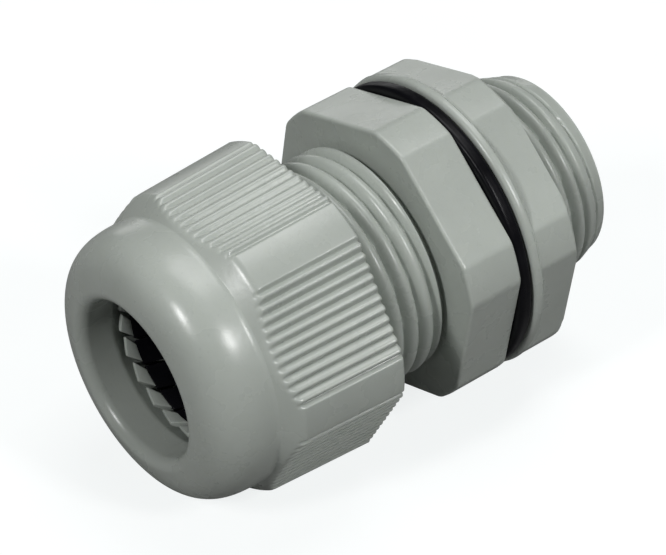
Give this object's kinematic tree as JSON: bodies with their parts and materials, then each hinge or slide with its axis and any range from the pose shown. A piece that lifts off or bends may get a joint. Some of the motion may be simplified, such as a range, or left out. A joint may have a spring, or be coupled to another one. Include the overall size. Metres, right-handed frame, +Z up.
{
  "type": "cable gland",
  "caption": "Round-nosed plastic cable gland with a ribbed clamping nut, hexagonal body, threaded entry, gasket and locknut.",
  "frame": {"origin": "on the gland's axis, in the middle of its whole length as shown", "axes": "+X along the axis towards the end of the entry thread, +Z up, with the dome nut standing on a flat"},
  "size_m": [0.0476, 0.03, 0.0292],
  "materials": {
    "nylon_grey": "injection-moulded light grey nylon with a soft satin gloss",
    "seal_rubber": "smooth black moulded rubber with a slight gloss"
  },
  "bodies": {
    "body": {"gland_body": "nylon_grey"},
    "clamping_insert": {"clamping_ring": "nylon_grey", "cable_seal": "seal_rubber"},
    "dome_nut": {"dome_nut": "nylon_grey"},
    "panel_gasket": {"panel_gasket": "seal_rubber"},
    "locknut": {"locknut": "nylon_grey"},
    "clamping_finger_01": {"clamping_finger_01": "nylon_grey"},
    "clamping_finger_02": {"clamping_finger_02": "nylon_grey"},
    "clamping_finger_03": {"clamping_finger_03": "nylon_grey"},
    "clamping_finger_04": {"clamping_finger_04": "nylon_grey"},
    "clamping_finger_05": {"clamping_finger_05": "nylon_grey"},
    "clamping_finger_06": {"clamping_finger_06": "nylon_grey"},
    "clamping_finger_07": {"clamping_finger_07": "nylon_grey"},
    "clamping_finger_08": {"clamping_finger_08": "nylon_grey"},
    "clamping_finger_09": {"clamping_finger_09": "nylon_grey"},
    "clamping_finger_10": {"clamping_finger_10": "nylon_grey"},
    "clamping_finger_11": {"clamping_finger_11": "nylon_grey"},
    "clamping_finger_12": {"clamping_finger_12": "nylon_grey"},
    "clamping_finger_13": {"clamping_finger_13": "nylon_grey"},
    "clamping_finger_14": {"clamping_finger_14": "nylon_grey"},
    "clamping_finger_15": {"clamping_finger_15": "nylon_grey"},
    "clamping_finger_16": {"clamping_finger_16": "nylon_grey"},
    "clamping_finger_17": {"clamping_finger_17": "nylon_grey"},
    "clamping_finger_18": {"clamping_finger_18": "nylon_grey"}
  },
  "joints": [
    {"name": "insert_slide", "type": "slide", "parent": "body", "child": "clamping_insert", "axis": [1, 0, 0], "range_m": [-0.00175, 0.0077]},
    {"name": "dome_nut_turn", "type": "hinge", "parent": "clamping_insert", "child": "dome_nut", "pos_m": [-0.01141, 0, 0], "axis": [1, 0, 0], "range_deg": [-360, 1620]},
    {"name": "clamping_finger_01_bend", "type": "hinge", "parent": "clamping_insert", "child": "clamping_finger_01", "pos_m": [-0.01166, 0.00855, 0.00229], "axis": [0, -0.2588, 0.9659], "range_deg": [-1.4, 6.2]},
    {"name": "clamping_finger_02_bend", "type": "hinge", "parent": "clamping_insert", "child": "clamping_finger_02", "pos_m": [-0.01166, 0.00725, 0.00508], "axis": [0, -0.5736, 0.8192], "range_deg": [-1.4, 6.2]},
    {"name": "clamping_finger_03_bend", "type": "hinge", "parent": "clamping_insert", "child": "clamping_finger_03", "pos_m": [-0.01166, 0.00508, 0.00725], "axis": [0, -0.8192, 0.5736], "range_deg": [-1.4, 6.2]},
    {"name": "clamping_finger_04_bend", "type": "hinge", "parent": "clamping_insert", "child": "clamping_finger_04", "pos_m": [-0.01166, 0.00229, 0.00855], "axis": [0, -0.9659, 0.2588], "range_deg": [-1.4, 6.2]},
    {"name": "clamping_finger_05_bend", "type": "hinge", "parent": "clamping_insert", "child": "clamping_finger_05", "pos_m": [-0.01166, -0.00077, 0.00882], "axis": [0, -0.9962, -0.0872], "range_deg": [-1.4, 6.2]},
    {"name": "clamping_finger_06_bend", "type": "hinge", "parent": "clamping_insert", "child": "clamping_finger_06", "pos_m": [-0.01166, -0.00374, 0.00802], "axis": [0, -0.9063, -0.4226], "range_deg": [-1.4, 6.2]},
    {"name": "clamping_finger_07_bend", "type": "hinge", "parent": "clamping_insert", "child": "clamping_finger_07", "pos_m": [-0.01166, -0.00626, 0.00626], "axis": [0, -0.7071, -0.7071], "range_deg": [-1.4, 6.2]},
    {"name": "clamping_finger_08_bend", "type": "hinge", "parent": "clamping_insert", "child": "clamping_finger_08", "pos_m": [-0.01166, -0.00802, 0.00374], "axis": [0, -0.4226, -0.9063], "range_deg": [-1.4, 6.2]},
    {"name": "clamping_finger_09_bend", "type": "hinge", "parent": "clamping_insert", "child": "clamping_finger_09", "pos_m": [-0.01166, -0.00882, 0.00077], "axis": [0, -0.0872, -0.9962], "range_deg": [-1.4, 6.2]},
    {"name": "clamping_finger_10_bend", "type": "hinge", "parent": "clamping_insert", "child": "clamping_finger_10", "pos_m": [-0.01166, -0.00855, -0.00229], "axis": [0, 0.2588, -0.9659], "range_deg": [-1.4, 6.2]},
    {"name": "clamping_finger_11_bend", "type": "hinge", "parent": "clamping_insert", "child": "clamping_finger_11", "pos_m": [-0.01166, -0.00725, -0.00508], "axis": [0, 0.5736, -0.8192], "range_deg": [-1.4, 6.2]},
    {"name": "clamping_finger_12_bend", "type": "hinge", "parent": "clamping_insert", "child": "clamping_finger_12", "pos_m": [-0.01166, -0.00508, -0.00725], "axis": [0, 0.8192, -0.5736], "range_deg": [-1.4, 6.2]},
    {"name": "clamping_finger_13_bend", "type": "hinge", "parent": "clamping_insert", "child": "clamping_finger_13", "pos_m": [-0.01166, -0.00229, -0.00855], "axis": [0, 0.9659, -0.2588], "range_deg": [-1.4, 6.2]},
    {"name": "clamping_finger_14_bend", "type": "hinge", "parent": "clamping_insert", "child": "clamping_finger_14", "pos_m": [-0.01166, 0.00077, -0.00882], "axis": [0, 0.9962, 0.0872], "range_deg": [-1.4, 6.2]},
    {"name": "clamping_finger_15_bend", "type": "hinge", "parent": "clamping_insert", "child": "clamping_finger_15", "pos_m": [-0.01166, 0.00374, -0.00802], "axis": [0, 0.9063, 0.4226], "range_deg": [-1.4, 6.2]},
    {"name": "clamping_finger_16_bend", "type": "hinge", "parent": "clamping_insert", "child": "clamping_finger_16", "pos_m": [-0.01166, 0.00626, -0.00626], "axis": [0, 0.7071, 0.7071], "range_deg": [-1.4, 6.2]},
    {"name": "clamping_finger_17_bend", "type": "hinge", "parent": "clamping_insert", "child": "clamping_finger_17", "pos_m": [-0.01166, 0.00802, -0.00374], "axis": [0, 0.4226, 0.9063], "range_deg": [-1.4, 6.2]},
    {"name": "clamping_finger_18_bend", "type": "hinge", "parent": "clamping_insert", "child": "clamping_finger_18", "pos_m": [-0.01166, 0.00882, -0.00077], "axis": [0, 0.0872, 0.9962], "range_deg": [-1.4, 6.2]},
    {"name": "gasket_slide", "type": "slide", "parent": "body", "child": "panel_gasket", "axis": [1, 0, 0], "range_m": [0, 0.01505]},
    {"name": "locknut_turn", "type": "hinge", "parent": "panel_gasket", "child": "locknut", "pos_m": [0.01309, 0, 0], "axis": [1, 0, 0], "range_deg": [0, 3600]}
  ],
  "couplings": [
    {"joint": "insert_slide", "follows": "dome_nut_turn", "m_per_rad": 0.00027056},
    {"joint": "clamping_finger_01_bend", "follows": "dome_nut_turn", "ratio": 0.0037037},
    {"joint": "clamping_finger_02_bend", "follows": "dome_nut_turn", "ratio": 0.0037037},
    {"joint": "clamping_finger_03_bend", "follows": "dome_nut_turn", "ratio": 0.0037037},
    {"joint": "clamping_finger_04_bend", "follows": "dome_nut_turn", "ratio": 0.0037037},
    {"joint": "clamping_finger_05_bend", "follows": "dome_nut_turn", "ratio": 0.0037037},
    {"joint": "clamping_finger_06_bend", "follows": "dome_nut_turn", "ratio": 0.0037037},
    {"joint": "clamping_finger_07_bend", "follows": "dome_nut_turn", "ratio": 0.0037037},
    {"joint": "clamping_finger_08_bend", "follows": "dome_nut_turn", "ratio": 0.0037037},
    {"joint": "clamping_finger_09_bend", "follows": "dome_nut_turn", "ratio": 0.0037037},
    {"joint": "clamping_finger_10_bend", "follows": "dome_nut_turn", "ratio": 0.0037037},
    {"joint": "clamping_finger_11_bend", "follows": "dome_nut_turn", "ratio": 0.0037037},
    {"joint": "clamping_finger_12_bend", "follows": "dome_nut_turn", "ratio": 0.0037037},
    {"joint": "clamping_finger_13_bend", "follows": "dome_nut_turn", "ratio": 0.0037037},
    {"joint": "clamping_finger_14_bend", "follows": "dome_nut_turn", "ratio": 0.0037037},
    {"joint": "clamping_finger_15_bend", "follows": "dome_nut_turn", "ratio": 0.0037037},
    {"joint": "clamping_finger_16_bend", "follows": "dome_nut_turn", "ratio": 0.0037037},
    {"joint": "clamping_finger_17_bend", "follows": "dome_nut_turn", "ratio": 0.0037037},
    {"joint": "clamping_finger_18_bend", "follows": "dome_nut_turn", "ratio": 0.0037037},
    {"joint": "gasket_slide", "follows": "locknut_turn", "m_per_rad": 0.00023873}
  ]
}
